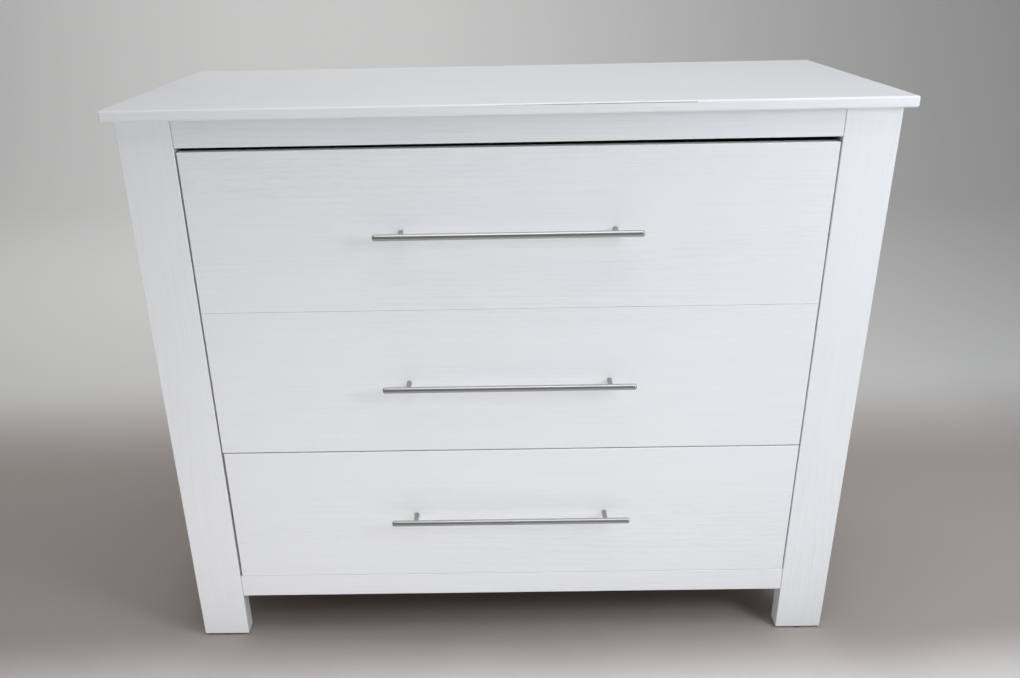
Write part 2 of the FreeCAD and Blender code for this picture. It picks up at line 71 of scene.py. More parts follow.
MM = 0.001
DRAWERS = (1, 2, 3)
POSTS = ("front_post_left", "front_post_right", "rear_post_left", "rear_post_right")
FRONT_RAILS = ("top_front_rail", "bottom_front_rail")
REAR_RAILS = ("top_rear_rail", "bottom_rear_rail")
SIDE_PANELS = ("side_panel_left", "side_panel_right")

# How far a front rail's back face is drawn in, and how much slimmer a bar is than its CAD.
RAIL_BACK_RELIEF = 0.3 * MM
BAR_PLAY = 0.03 * MM
# Heights between which painted shade darkens the paint, under the top board's overhang.
OVERHANG_SHADE_HEIGHTS = (0.888, 0.913)
# How much of its rounding each front keeps at its top and its bottom edge.
FRONT_ROUNDING = {1: (1.0, 0.3), 2: (0.3, 1.0), 3: (1.0, 0.3)}
TOP_RAIL_ROUNDING = 0.6
# The parts of the top front's length and height over which its upper edge runs low.
TAPER_START, TAPER_LENGTH = 0.3, 0.7
TAPER_BASE, TAPER_BAND = 0.9, 0.1
# The stems' shoulder at the drawer front, and how slim they are before it.
SHOULDER_START, SHOULDER_END = 1.6 * MM, 1.2 * MM
STEM_SLIM = 0.96
STEM_IN_BAR = 0.5
# Spacing of the sections along the crack, and the parts of its length that are painted dark.
CRACK_STEP = 5 * MM
CRACK_DARK = (0.02, 0.97)
WORLD_STRENGTH = 0.20


def middle(node):
    low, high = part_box(node)
    return (low + high) / 2


# ---------------------------------------------------------------- settings


class PaintSettings(bpy.types.PropertyGroup):
    """The white paint and how the pine shows through it."""

    colour: bpy.props.FloatVectorProperty(
        name="Paint", description="Colour of the satin paint",
        subtype="COLOR", size=3, min=0, max=1, default=(0.80, 0.81, 0.83),
    )
    hollow: bpy.props.FloatVectorProperty(
        name="Paint in hollows", description="Colour where the paint lies in the grain",
        subtype="COLOR", size=3, min=0, max=1, default=(0.70, 0.71, 0.73),
    )
    # Painted highlight: the colour of the rounded arrises that face upwards, lighter where light falls on
    # them.
    arris_highlight: bpy.props.FloatVectorProperty(
        name="Arris highlight paint", description="Colour where the arrises are rubbed smooth",
        subtype="COLOR", size=3, min=0, max=1, default=(0.97, 0.975, 0.98),
    )
    roughness: bpy.props.FloatProperty(
        name="Roughness", description="Roughness of the satin paint", min=0, max=1, default=0.40,
    )
    # Painted shade: how much darker the paint is made under the top board's overhang, and a little over the
    # whole rail.
    dust_and_shade: bpy.props.FloatProperty(
        name="Overhang shade", description="How much duller the paint grows under the top board",
        min=0, max=1, default=0.5,
    )
    stroke_height: bpy.props.FloatProperty(
        name="Brush stroke height", description="Height of the brush strokes",
        unit="LENGTH", min=0, default=0.00010, precision=6,
    )
    grain_depth: bpy.props.FloatProperty(
        name="Grain depth", description="Depth of the pine's grain under the paint",
        unit="LENGTH", min=0, default=0.00016, precision=6,
    )


class BoardSettings(bpy.types.PropertyGroup):
    """How the painted boards are eased and how true they are."""

    arris: bpy.props.FloatProperty(
        name="Arris", description="Rounding along a board's long edges",
        unit="LENGTH", min=0, default=0.0013, precision=5,
    )
    top_edge: bpy.props.FloatProperty(
        name="Top edge", description="Rounding round the top board",
        unit="LENGTH", min=0, default=0.0032, precision=5,
    )
    top_corner: bpy.props.FloatProperty(
        name="Top corner", description="Rounding of the top board's upright corners",
        unit="LENGTH", min=0, default=0.0040, precision=5,
    )
    waver: bpy.props.FloatProperty(
        name="Waver", description="How far a hand-sanded edge strays from true",
        unit="LENGTH", min=0, default=0.00022, precision=6,
    )
    joint_gap: bpy.props.FloatProperty(
        name="Joint gap", description="Gap between a front rail and a post",
        unit="LENGTH", min=0, default=0.0003, precision=5,
    )
    left_gaps: bpy.props.FloatVectorProperty(
        name="Left gaps", description="How much wider each drawer's left gap is than its right one",
        size=3, min=0, default=(0.0005, 0.0005, 0.0018), precision=5,
    )
    out_of_true: bpy.props.FloatProperty(
        name="Out of true", description="How far the top front's upper right corner runs low",
        unit="LENGTH", min=0, default=0.0014, precision=5,
    )
    step: bpy.props.FloatProperty(
        name="Step", description="Spacing of the sections that carry the waver",
        unit="LENGTH", min=0.005, default=0.024,
    )


class HairlineSettings(bpy.types.PropertyGroup):
    """The hairline crack in the paint along the top board's front edge."""

    start: bpy.props.FloatProperty(
        name="Start", description="Left end of the crack", unit="LENGTH", default=-0.020,
    )
    end: bpy.props.FloatProperty(
        name="End", description="Right end of the crack", unit="LENGTH", default=0.276,
    )
    opened: bpy.props.FloatProperty(
        name="Opened", description="Part of its length over which it opens and darkens",
        min=0, max=1, default=0.42,
    )
    drop: bpy.props.FloatProperty(
        name="Drop", description="How far it lies below the top face",
        unit="LENGTH", default=0.0026, precision=5,
    )
    depth: bpy.props.FloatProperty(
        name="Depth", description="Greatest depth of the crack",
        unit="LENGTH", default=0.0009, precision=5,
    )
    width: bpy.props.FloatProperty(
        name="Width", description="Width of the crack at the face",
        unit="LENGTH", default=0.0009, precision=5,
    )


class HandleSettings(bpy.types.PropertyGroup):
    """The round bar handles."""

    end_round: bpy.props.FloatProperty(
        name="End rounding", description="Radius at the bar's ends",
        unit="LENGTH", min=0, default=0.0036, precision=5,
    )
    colour: bpy.props.FloatVectorProperty(
        name="Steel", description="Colour of the brushed steel",
        subtype="COLOR", size=3, min=0, max=1, default=(0.45, 0.455, 0.46),
    )
    stem_colour: bpy.props.FloatVectorProperty(
        name="Stem steel", description="Colour of the duller stems",
        subtype="COLOR", size=3, min=0, max=1, default=(0.35, 0.355, 0.36),
    )


class StudioSettings(bpy.types.PropertyGroup):
    """Camera, lights, floor and backdrop."""

    eye: bpy.props.FloatVectorProperty(
        name="Eye", description="Where the camera stands",
        subtype="TRANSLATION", size=3, default=(-0.02098, -1.60743, 1.11206),
    )
    aim: bpy.props.FloatVectorProperty(
        name="Aim", description="Camera pitch, yaw to the right and roll",
        subtype="EULER", size=3,
        default=(math.radians(-25.082), math.radians(-0.692), math.radians(-1.17)),
    )
    lens: bpy.props.FloatProperty(
        name="Lens", description="Focal length in millimetres", min=1, default=33.144,
    )
    shift: bpy.props.FloatVectorProperty(
        name="Shift", description="Lens shift across and up", size=2, default=(0.02341, 0.05882),
    )
    floor: bpy.props.FloatVectorProperty(
        name="Floor", description="Colour of the plain floor",
        subtype="COLOR", size=3, min=0, max=1, default=(0.43, 0.39, 0.36),
    )
    # Painted light: the floor towards the camera is paler than by the chest, as if better lit.
    lit_near_floor: bpy.props.FloatVectorProperty(
        name="Near floor", description="Colour of the floor towards the camera",
        subtype="COLOR", size=3, min=0, max=1, default=(0.88, 0.85, 0.81),
    )
    backdrop: bpy.props.FloatVectorProperty(
        name="Backdrop", description="Colour of the plain backdrop",
        subtype="COLOR", size=3, min=0, max=1, default=(0.74, 0.74, 0.735),
    )


# ---------------------------------------------------------------- shader maths


class Signal:
    """One number in a material; ordinary arithmetic on it adds the Math nodes."""

    def __init__(self, material, socket):
        self.material = material
        self.socket = socket

    def maths(self, operation, first, second=None):
        sockets = {0: first} if second is None else {0: first, 1: second}
        return self.material.add("ShaderNodeMath", {"operation": operation}, sockets)

    def __add__(self, other):
        return self.maths("ADD", self, other)

    __radd__ = __add__

    def __sub__(self, other):
        return self.maths("SUBTRACT", self, other)

    def __rsub__(self, other):
        return self.maths("SUBTRACT", other, self)

    def __mul__(self, other):
        return self.maths("MULTIPLY", self, other)

    __rmul__ = __mul__

    def above(self, limit):
        return self.maths("GREATER_THAN", self, limit)

    def sine(self):
        return self.maths("SINE", self)

    def clamped(self):
        return self.material.add("ShaderNodeClamp", {}, {"Value": self})


class Finish:
    """A material under construction: one Principled shader and the nodes that feed it."""

    def __init__(self, name, **constants):
        self.made = bpy.data.materials.new(name)
        self.made.use_nodes = True
        self.tree = self.made.node_tree
        self.tree.nodes.clear()
        self.shader = self.tree.nodes.new("ShaderNodeBsdfPrincipled")
        output = self.tree.nodes.new("ShaderNodeOutputMaterial")
        self.tree.links.new(self.shader.outputs["BSDF"], output.inputs["Surface"])
        for socket, value in constants.items():
            self.shader.inputs[socket.replace("_", " ").title()].default_value = value

    def put(self, socket, value):
        if isinstance(value, Signal):
            self.tree.links.new(value.socket, socket)
        elif getattr(socket, "type", "") == "RGBA" and len(value) == 3:
            socket.default_value = (*value, 1)
        else:
            socket.default_value = value

    def add(self, kind, settings, sockets, output=0):
        """Any node: its settings are made first, then its sockets are set or linked."""
        node = self.tree.nodes.new(kind)
        for name, value in settings.items():
            setattr(node, name, value)
        for name, value in sockets.items():
            self.put(node.inputs[name], value)
        return Signal(self, node.outputs[output])

    def place(self, scale):
        """The object's own coordinates in metres, scaled for a pattern."""
        here = self.add("ShaderNodeTexCoord", {}, {}, "Object")
        return self.add("ShaderNodeMapping", {}, {"Vector": here, "Scale": scale})

    def noise(self, scale, detail=2.0, roughness=0.5):
        where = self.place(scale)
        sockets = {"Vector": where, "Scale": 1.0, "Detail": detail, "Roughness": roughness}
        return self.add("ShaderNodeTexNoise", {}, sockets)

    def axis(self, name):
        here = self.add("ShaderNodeTexCoord", {}, {}, "Object")
        return self.add("ShaderNodeSeparateXYZ", {}, {"Vector": here}, name)

    def facing(self, name):
        """One part of the surface's own outward direction."""
        outward = self.add("ShaderNodeNewGeometry", {}, {}, "Normal")
        return self.add("ShaderNodeSeparateXYZ", {}, {"Vector": outward}, name)

    def mix(self, amount, first, second):
        sockets = {0: amount, 6: first, 7: second}
        return self.add("ShaderNodeMix", {"data_type": "RGBA"}, sockets, 2)

    def smooth(self, value, low, high):
        settings = {"interpolation_type": "SMOOTHSTEP"}
        sockets = {"Value": value, "From Min": low, "From Max": high}
        return self.add("ShaderNodeMapRange", settings, sockets)

    def colour(self, value):
        self.put(self.shader.inputs["Base Color"], value)

    def roughness(self, value):
        self.put(self.shader.inputs["Roughness"], value)

    def relief(self, height, distance):
        """Bump from a height of 0 to 1 that stands for a distance in metres."""
        sockets = {"Height": height, "Distance": distance, "Strength": 1.0}
        self.put(self.shader.inputs["Normal"], self.add("ShaderNodeBump", {}, sockets))


def stretched(along, fine, long):
    """A pattern scale that is fine across the grain and long along it, in repeats a metre."""
    return tuple(long if axis == along else fine for axis in "XYZ")


def painted_pine(name, along, settings, arris_highlight=0.85, overhang_shade_heights=None):
    """White satin paint brushed along the grain, with the pine's growth lines under it.

    arris_highlight: a painted highlight, how far the arrises that face upwards are lighter.
    dusty: the two heights between which painted shade makes the paint darker, under the top
    board's overhang.
    """
    finish = Finish(name)
    strokes = finish.noise(stretched(along, 420, 5), detail=3, roughness=0.6)
    wide_strokes = finish.noise(stretched(along, 110, 2.2), detail=2)
    pores = finish.noise(stretched(along, 1500, 26), detail=1)
    sweep = finish.noise(stretched(along, 11, 1.3), detail=1)
    across = finish.axis("Z" if along == "X" else "X")
    depth = finish.axis("Y")
    rings = ((across + depth) * 620 + sweep * 46 + wide_strokes * 5).sine()
    late_wood = finish.smooth(rings, 0.35, 1.0)
    patches = finish.smooth(finish.noise(stretched(along, 7, 1.1), detail=2), 0.40, 0.66)
    grain = late_wood * patches
    hollow = finish.smooth(pores, 0.56, 0.75) * (0.35 + patches * 0.65)
    shade = (strokes - 0.5) * 0.75 + (wide_strokes - 0.5) * 0.20 + grain * 0.16 + hollow * 0.36 + 0.16
    # Painted shade: the paint darkens between the two heights, under the top board's overhang, and a little
    # all over.
    if overhang_shade_heights:
        shade = shade + finish.smooth(finish.axis("Z"), *overhang_shade_heights) * settings.dust_and_shade + settings.dust_and_shade * 0.4
    # Painted highlight: the rounded arrises that face upwards are lighter in colour.
    upward = finish.facing("Z")
    arris = finish.smooth(upward, 0.15, 0.50) * finish.smooth(upward, 0.98, 0.90)
    paint = finish.mix(shade.clamped(), settings.colour, settings.hollow)
    finish.colour(finish.mix(arris * arris_highlight, paint, settings.arris_highlight))
    finish.roughness(settings.roughness + (strokes - 0.5) * 0.24 + hollow * 0.10)
    height = strokes * 0.45 + wide_strokes * 0.35 - grain * 0.30 - hollow * 0.55 + 0.5
    finish.relief(height, settings.stroke_height + settings.grain_depth)
    return finish.made


def crack_dark(name, start, opened, paint):
    """The dry edge of the paint in the hairline crack, darkened with painted shade and dirt, faint where it
    starts.
    """
    finish = Finish(name, roughness=0.9)
    speckle = finish.noise((900, 900, 900), detail=2)
    patch = finish.noise((60, 900, 900), detail=1)
    shade_and_dirt = finish.mix(speckle, (0.16, 0.155, 0.15), (0.32, 0.31, 0.30))
    open_part = finish.smooth(finish.axis("X") + (patch - 0.5) * 0.03, start, opened)
    finish.colour(finish.mix(0.25 + open_part * 0.75, paint, shade_and_dirt))
    return finish.made


def bare_pine(name, along, light, dark):
    """Planed pine with late-wood lines and a few warm streaks."""
    finish = Finish(name)
    sweep = finish.noise(stretched(along, 9, 0.9), detail=1)
    fibre = finish.noise(stretched(along, 900, 12), detail=3, roughness=0.6)
    across = finish.axis("Z")
    depth = finish.axis("X" if along == "Y" else "Y")
    rings = ((across + depth * 0.6) * 420 + sweep * 34 + fibre * 1.6).sine()
    late_wood = finish.smooth(rings, 0.1, 1.0)
    tone = late_wood * 0.62 + (fibre - 0.5) * 0.5 + (sweep - 0.5) * 0.6
    finish.colour(finish.mix(tone.clamped(), light, dark))
    finish.roughness(0.46 + fibre * 0.16)
    finish.relief(fibre * 0.7 - late_wood * 0.3 + 0.3, 0.00012)
    return finish.made


def hardboard(name, faced):
    """Pressed fibre board: brown and screen-marked, with a white lacquered upper face if faced."""
    finish = Finish(name)
    fibre = finish.noise((260, 260, 260), detail=5, roughness=0.7)
    flecks = finish.smooth(finish.noise((900, 900, 900), detail=2), 0.60, 0.74)
    brown = finish.mix(fibre, (0.30, 0.19, 0.11), (0.44, 0.30, 0.19))
    brown = finish.mix(flecks * 0.5, brown, (0.20, 0.12, 0.07))
    pitch = 2 * math.pi / (1.6 * MM)
    up = finish.axis("Y" if faced else "Z")
    screen = (finish.axis("X") * pitch).sine() * (up * pitch).sine()
    rough_relief = screen * 0.25 + fibre * 0.6
    if not faced:
        finish.colour(brown)
        finish.roughness(0.72 + fibre * 0.2)
        finish.relief(rough_relief, 0.00035)
        return finish.made
    white = finish.mix(fibre, (0.80, 0.80, 0.78), (0.70, 0.70, 0.68))
    is_top = finish.facing("Z").above(0.5)
    finish.colour(finish.mix(is_top, brown, white))
    finish.roughness(0.75 - is_top * 0.30 + fibre * 0.1)
    finish.relief(rough_relief * (1 - is_top) + fibre * is_top * 0.15, 0.00030)
    return finish.made


def brushed_steel(name, along, base):
    """Satin steel with fine drawn lines along the bar and a few faint handling marks."""
    finish = Finish(name, metallic=1.0)
    lines = finish.noise(stretched(along, 2600, 14), detail=3, roughness=0.65)
    cloud = finish.noise((38, 38, 38), detail=2)
    light = tuple(min(1, part * 1.16) for part in base)
    finish.colour(finish.mix(lines, base, light))
    finish.roughness(0.27 + lines * 0.16 + (cloud - 0.5) * 0.12)
    finish.relief(lines, 0.00003)
    return finish.made


def coated_steel(name):
    """White epoxy coat on pressed steel, with a faint orange peel and dust in it."""
    finish = Finish(name)
    peel = finish.noise((520, 520, 520), detail=1)
    dust_and_shade = finish.smooth(finish.noise((60, 60, 60), detail=4), 0.52, 0.80)
    finish.colour(finish.mix(dust_and_shade * 0.6, (0.80, 0.80, 0.77), (0.60, 0.58, 0.54)))
    finish.roughness(0.30 + peel * 0.10 + dust_and_shade * 0.25)
    finish.relief(peel, 0.00008)
    return finish.made


def zinc_plate(name):
    """Bright zinc plate, blotched as it is on cam locks, brackets and screws."""
    finish = Finish(name, metallic=1.0)
    blotch = finish.noise((320, 320, 320), detail=3)
    scuffs = finish.noise((2400, 260, 260), detail=2)
    finish.colour(finish.mix(blotch, (0.50, 0.50, 0.49), (0.68, 0.68, 0.66)))
    finish.roughness(0.26 + blotch * 0.22 + (scuffs - 0.5) * 0.12)
    finish.relief(scuffs, 0.00003)
    return finish.made


def moulded_plastic(name, light, dark):
    """Moulded nylon or polythene with a fine matt texture."""
    finish = Finish(name)
    texture = finish.noise((1400, 1400, 1400), detail=2)
    stain = finish.noise((90, 90, 90), detail=3)
    finish.colour(finish.mix(stain, light, dark))
    finish.roughness(0.42 + texture * 0.20)
    finish.relief(texture, 0.00006)
    return finish.made


# ---------------------------------------------------------------- mesh tools


def finished(name, mesh, body, replaced, materials):
    """Turn a bmesh into a named piece that rides on its body."""
    bmesh.ops.recalc_face_normals(mesh, faces=mesh.faces)
    data = bpy.data.meshes.new(name)
    mesh.to_mesh(data)
    mesh.free()
    data.shade_smooth()
    piece = bpy.data.objects.new(name, data)
    bpy.context.scene.collection.objects.link(piece)
    for material in materials:
        data.materials.append(material)
    weighted = piece.modifiers.new("flat faces", "WEIGHTED_NORMAL")
    weighted.keep_sharp = True
    weighted.weight = 80
    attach(piece, body)
    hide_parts(replaced)
    return piece


def cross_cuts(mesh, axis, low, high, step):
    """Cut sections square to an axis so that long edges can bend a little."""
    count = max(2, round((high - low) / step))
    normal = Vector((0, 0, 0))
    normal[axis] = 1
    for cut in range(1, count):
        point = normal * (low + (high - low) * cut / count)
        every = mesh.verts[:] + mesh.edges[:] + mesh.faces[:]
        bmesh.ops.bisect_plane(mesh, geom=every, plane_co=point, plane_no=normal, dist=1e-7)


def planed_board(low, high, edge, settings, corner=0.0):
    """A board with rounded arrises that stray a little, as hand-sanded and painted wood does."""
    mesh = bmesh.new()
    centre = (low + high) / 2
    size = high - low
    made = bmesh.ops.create_cube(mesh, size=1)
    bmesh.ops.scale(mesh, verts=made["verts"], vec=size)
    bmesh.ops.translate(mesh, verts=mesh.verts, vec=centre)
    if corner:
        upright = [side for side in mesh.edges if side.verts[0].co.xy == side.verts[1].co.xy]
        bmesh.ops.bevel(
            mesh, geom=upright, offset=corner, segments=8, profile=0.5,
            affect="EDGES", material=-1, clamp_overlap=True,
        )
    sharp = [side for side in mesh.edges if side.calc_face_angle() > math.radians(40)]
    bmesh.ops.bevel(
        mesh, geom=sharp, offset=edge, segments=4, profile=0.5,
        affect="EDGES", material=-1, clamp_overlap=True,
    )
    margin = max(edge, corner)
    for axis in range(3):
        if size[axis] > 3 * settings.step:
            cross_cuts(mesh, axis, low[axis] + margin, high[axis] - margin, settings.step)
    for vert in mesh.verts:
        inward = Vector((0, 0, 0))
        for axis in range(3):
            side = vert.co[axis] - centre[axis]
            if abs(side) > size[axis] / 2 - edge * 1.01:
                inward[axis] = -math.copysign(1, side)
        if sum(abs(part) for part in inward) > 1:
            stray = 0.5 + 0.5 * noise.noise(vert.co * 17) + 0.35 * noise.noise(vert.co * 61)
            vert.co += inward * settings.waver * max(0, min(1, stray))
    return mesh


def sharpen(mesh, low, high, edge, top=1.0, bottom=1.0):
    """Shrink the rounding along a board's top or bottom edges, where two boards meet closely."""
    reach = edge * 1.3
    for vert in mesh.verts:
        for level, keep in ((high.z, top), (low.z, bottom)):
            if abs(vert.co.z - level) > reach:
                continue
            vert.co.z = level + (vert.co.z - level) * keep
            for face in (low.y, high.y):
                if abs(vert.co.y - face) < reach:
                    vert.co.y = face + (vert.co.y - face) * keep


def lathe(profile, centre, axis, steps):
    """Turn an outline of (along, radius) points about an axis through a centre."""
    mesh = bmesh.new()
    along = Vector((1, 0, 0)) if axis == "X" else Vector((0, 1, 0))
    out = Vector((0, 0, 1))
    verts = [mesh.verts.new(centre + along * place + out * radius) for place, radius in profile]
    edges = [mesh.edges.new(pair) for pair in zip(verts, verts[1:])]
    bmesh.ops.spin(
        mesh, geom=verts + edges, cent=centre, axis=along,
        angle=2 * math.pi, steps=steps, use_merge=True,
    )
    bmesh.ops.remove_doubles(mesh, verts=mesh.verts, dist=1e-7)
    return mesh


def quarter(place, radius, bend, start, steps=6):
    """Points of a quarter-round between a bar's side and its end."""
    turns = [math.pi / 2 * step / steps for step in range(steps + 1)]
    if start:
        return [
            (place + bend * (1 - math.sin(turn)), radius - bend * (1 - math.cos(turn)))
            for turn in reversed(turns)
        ]
    return [
        (place - bend * (1 - math.sin(turn)), radius - bend * (1 - math.cos(turn)))
        for turn in turns
    ]


def dress(nodes, material):
    """Give CAD nodes a finish."""
    for name in nodes:
        node = frame["nodes"][name]
        node.data.materials.clear()
        node.data.materials.append(material)


def drawer_nodes(*endings):
    return [f"drawer_{number}_{ending}" for number in DRAWERS for ending in endings]


# ---------------------------------------------------------------- the pieces


class CHEST_OT_carcass(bpy.types.Operator):
    """Make the posts and front rails, and paint the panels and rear rails"""

    bl_idname = "chest.carcass"
    bl_label = "Carcass"

    def execute(self, context):
        scene = context.scene
        upright = painted_pine("painted_pine_upright", "Z", scene.chest_paint)
        level = painted_pine("painted_pine_level", "X", scene.chest_paint)
        # This paint carries painted shade under the top board's overhang, for the top front rail.
        overhang_shaded_paint = painted_pine("painted_pine_overhang_shade", "X", scene.chest_paint, overhang_shade_heights=OVERHANG_SHADE_HEIGHTS)
        boards = scene.chest_boards
        for name in POSTS:
            low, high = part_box(name)
            mesh = planed_board(low, high, boards.arris, boards)
            finished(name + "_painted", mesh, "carcass", name, [upright])
        for name in FRONT_RAILS:
            low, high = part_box(name)
            high.y -= RAIL_BACK_RELIEF
            low.x += boards.joint_gap
            high.x -= boards.joint_gap
            mesh = planed_board(low, high, boards.arris, boards)
            is_top = name == "top_front_rail"
            sharpen(mesh, low, high, boards.arris, bottom=TOP_RAIL_ROUNDING if is_top else 1.0)
            paint = overhang_shaded_paint if is_top else level
            finished(name + "_painted", mesh, "carcass", name, [paint])
        dress(REAR_RAILS, level)
        dress(SIDE_PANELS, upright)
        return {"FINISHED"}


class CHEST_OT_top_board(bpy.types.Operator):
    """Make the top board, with the hairline crack in its front edge"""

    bl_idname = "chest.top_board"
    bl_label = "Top board"

    def execute(self, context):
        scene = context.scene
        boards = scene.chest_boards
        crack = scene.chest_hairline
        low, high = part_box("top_board")
        mesh = planed_board(low, high, boards.top_edge, boards, boards.top_corner)
        level = high.z - crack.drop
        for offset in (-0.5, 0, 0.5):
            self.cut(mesh, Vector((0, 0, level + offset * crack.width)), Vector((0, 0, 1)))
        length = crack.end - crack.start
        for number in range(int(length / CRACK_STEP) + 1):
            self.cut(mesh, Vector((crack.start + number * CRACK_STEP, 0, 0)), Vector((1, 0, 0)))
        for vert in mesh.verts:
            part = (vert.co.x - crack.start) / length
            on_line = abs(vert.co.z - level) < 1e-6 and vert.co.y < low.y + boards.top_edge
            if 0 < part < 1 and on_line:
                fade = min(1, 0.35 + part, 5 * part, 6 * (1 - part))
                gap = 0.60 + 0.8 * noise.noise(Vector((vert.co.x * 30, 0, 3)))
                vert.co.y += crack.depth * fade * max(0.1, gap)
        # The crack's faces take the dark material: painted shade and dirt.
        for face in mesh.faces:
            centre = face.calc_center_median()
            part = (centre.x - crack.start) / length
            near = abs(centre.z - level) < crack.width * 0.6
            front = centre.y < low.y + boards.top_edge
            face.material_index = int(near and front and CRACK_DARK[0] < part < CRACK_DARK[1])
        opened = crack.start + crack.opened * length
        # The top board's arrises get less painted highlight than the other boards.
        paint = painted_pine("painted_pine_top", "X", scene.chest_paint, arris_highlight=0.25)
        finished(
            "top_board_painted", mesh, "carcass", "top_board",
            [paint, crack_dark("crack_edge", crack.start, opened, scene.chest_paint.colour)],
        )
        return {"FINISHED"}

    def cut(self, mesh, point, normal):
        every = mesh.verts[:] + mesh.edges[:] + mesh.faces[:]
        bmesh.ops.bisect_plane(mesh, geom=every, plane_co=point, plane_no=normal, dist=1e-7)


class CHEST_OT_drawer_fronts(bpy.types.Operator):
    """Make the three drawer fronts"""

    bl_idname = "chest.drawer_fronts"
    bl_label = "Drawer fronts"

    def execute(self, context):
        scene = context.scene
        boards = scene.chest_boards
        paint = painted_pine("painted_pine_fronts", "X", scene.chest_paint)
        for number in DRAWERS:
            name = f"drawer_{number}_front"
            low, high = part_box(name)
            low.x += boards.left_gaps[number - 1]
            mesh = planed_board(low, high, boards.arris, boards)
            top, bottom = FRONT_ROUNDING[number]
            sharpen(mesh, low, high, boards.arris, top, bottom)
            if number == 1:
                self.lower_corner(mesh, low, high, boards.out_of_true)
            finished(name + "_painted", mesh, f"drawer_{number}", name, [paint])
        return {"FINISHED"}

    def lower_corner(self, mesh, low, high, drop):
        """The top front's upper edge runs a little low towards its right end."""
        for vert in mesh.verts:
            along = max(0, (vert.co.x - low.x) / (high.x - low.x) - TAPER_START) / TAPER_LENGTH
            up = max(0, (vert.co.z - low.z) / (high.z - low.z) - TAPER_BASE) / TAPER_BAND
            vert.co.z -= drop * along * up


class CHEST_OT_drawer_boxes(bpy.types.Operator):
    """Finish the drawers' sides, backs and bottoms, the battens and the back panel"""

    bl_idname = "chest.drawer_boxes"
    bl_label = "Drawer boxes"

    def execute(self, context):
        light, dark = (0.72, 0.56, 0.37), (0.52, 0.35, 0.19)
        dress(drawer_nodes("side_left", "side_right"), bare_pine("drawer_pine_sides", "Y", light, dark))
        dress(drawer_nodes("back"), bare_pine("drawer_pine_back", "X", light, dark))
        dress(drawer_nodes("bottom"), hardboard("hardboard_faced", True))
        dress(["back_panel"], hardboard("hardboard_back", False))
        battens = ["runner_battens_left", "runner_battens_right"]
        dress(battens, bare_pine("raw_pine", "Y", (0.70, 0.52, 0.33), (0.46, 0.29, 0.15)))
        return {"FINISHED"}


class CHEST_OT_handles(bpy.types.Operator):
    """Make the bar handles: a bar on two stems for each drawer"""

    bl_idname = "chest.handles"
    bl_label = "Handles"

    def execute(self, context):
        settings = context.scene.chest_handles
        bar_steel = brushed_steel("brushed_steel_bar", "X", settings.colour)
        stem_steel = brushed_steel("brushed_steel_stem", "Y", settings.stem_colour)
        for number in DRAWERS:
            bar = f"drawer_{number}_handle_bar"
            low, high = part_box(bar)
            centre = middle(bar)
            radius = (high.z - low.z) / 2 - BAR_PLAY
            start, end = low.x - centre.x, high.x - centre.x
            outline = [(start, 0)]
            outline += quarter(start, radius, settings.end_round, True)
            outline += quarter(end, radius, settings.end_round, False)
            outline += [(end, 0)]
            mesh = lathe(outline, centre, "X", 48)
            finished(bar + "_brushed", mesh, f"drawer_{number}", bar, [bar_steel])
            self.stems(number, centre, radius, stem_steel)
        return {"FINISHED"}

    def stems(self, number, bar_centre, bar_radius, steel):
        node = f"drawer_{number}_handle_stems"
        low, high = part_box(node)
        radius = (high.z - low.z) / 2
        both = bmesh.new()
        for x in (low.x + radius, high.x - radius):
            centre = Vector((x, bar_centre.y, bar_centre.z))
            root = high.y - centre.y
            outline = [
                (bar_radius * STEM_IN_BAR, 0),
                (bar_radius * STEM_IN_BAR, radius * STEM_SLIM),
                (root - SHOULDER_START, radius * STEM_SLIM),
                (root - SHOULDER_END, radius),
                (root, radius),
                (root, 0),
            ]
            turned = lathe(outline, centre, "Y", 40)
            data = bpy.data.meshes.new("stem")
            turned.to_mesh(data)
            turned.free()
            both.from_mesh(data)
            bpy.data.meshes.remove(data)
        finished(node + "_brushed", both, f"drawer_{number}", node, [steel])


class CHEST_OT_runners(bpy.types.Operator):
    """Finish the roller runners and their rollers"""

    bl_idname = "chest.runners"
    bl_label = "Runners"

    def execute(self, context):
        runners = [f"cabinet_runners_{number}" for number in DRAWERS] + drawer_nodes("runners")
        dress(runners, coated_steel("coated_steel"))
        rollers = [f"cabinet_rollers_{number}" for number in DRAWERS] + drawer_nodes("rollers")
        dress(rollers, moulded_plastic("nylon", (0.74, 0.72, 0.65), (0.64, 0.62, 0.55)))
        return {"FINISHED"}


class CHEST_OT_fittings(bpy.types.Operator):
    """Finish the cam locks, brackets, screws and foot glides"""

    bl_idname = "chest.fittings"
    bl_label = "Fittings"

    def execute(self, context):
        fittings = ["carcass_cam_locks", "top_brackets", "top_bracket_screws", "runner_screws"]
        dress(fittings + drawer_nodes("cam_locks", "handle_bolts"), zinc_plate("zinc"))
        dress(["foot_glides"], moulded_plastic("glide_plastic", (0.05, 0.05, 0.05), (0.09, 0.09, 0.09)))
        return {"FINISHED"}


# ---------------------------------------------------------------- the studio


def plain_stage(name, floor, near, backdrop):
    """A matt sweep with painted light: the floor is paler near the camera, as if better lit, and fades into
    the backdrop behind.
    """
    finish = Finish(name, roughness=0.75)
    cloud = finish.noise((2, 2, 2), detail=3)
    depth = finish.axis("Y") + (cloud - 0.5) * 0.1
    # Painted light: the floor turns paler towards the camera.
    ground = finish.mix(finish.smooth(depth, -0.44, -0.22), near, floor)
    finish.colour(finish.mix(finish.smooth(depth, 0.35, 0.95), ground, backdrop))
    return finish.made


